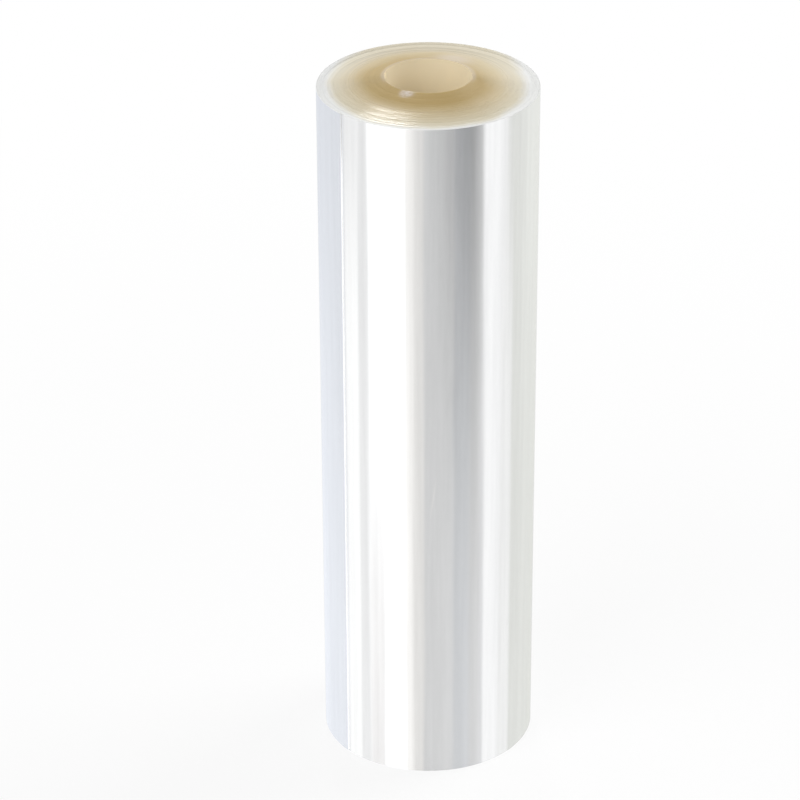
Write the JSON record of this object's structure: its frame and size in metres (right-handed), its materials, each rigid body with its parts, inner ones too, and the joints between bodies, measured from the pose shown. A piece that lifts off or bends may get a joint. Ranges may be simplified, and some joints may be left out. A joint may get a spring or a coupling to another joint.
{
  "type": "roll of cake collar film",
  "caption": "Roll of clear film wound tightly without a core, standing on its end, with an open bore and slightly coned ends.",
  "frame": {"origin": "on the bore's axis, at the level that the roll stands on", "axes": "+Z along the bore towards the raised end, -Y towards the viewer, +X to the viewer's right"},
  "size_m": [0.0454, 0.0453, 0.1521],
  "materials": {
    "film": "gloss"
  },
  "bodies": {
    "root": {"film_roll": "film"}
  },
  "joints": []
}
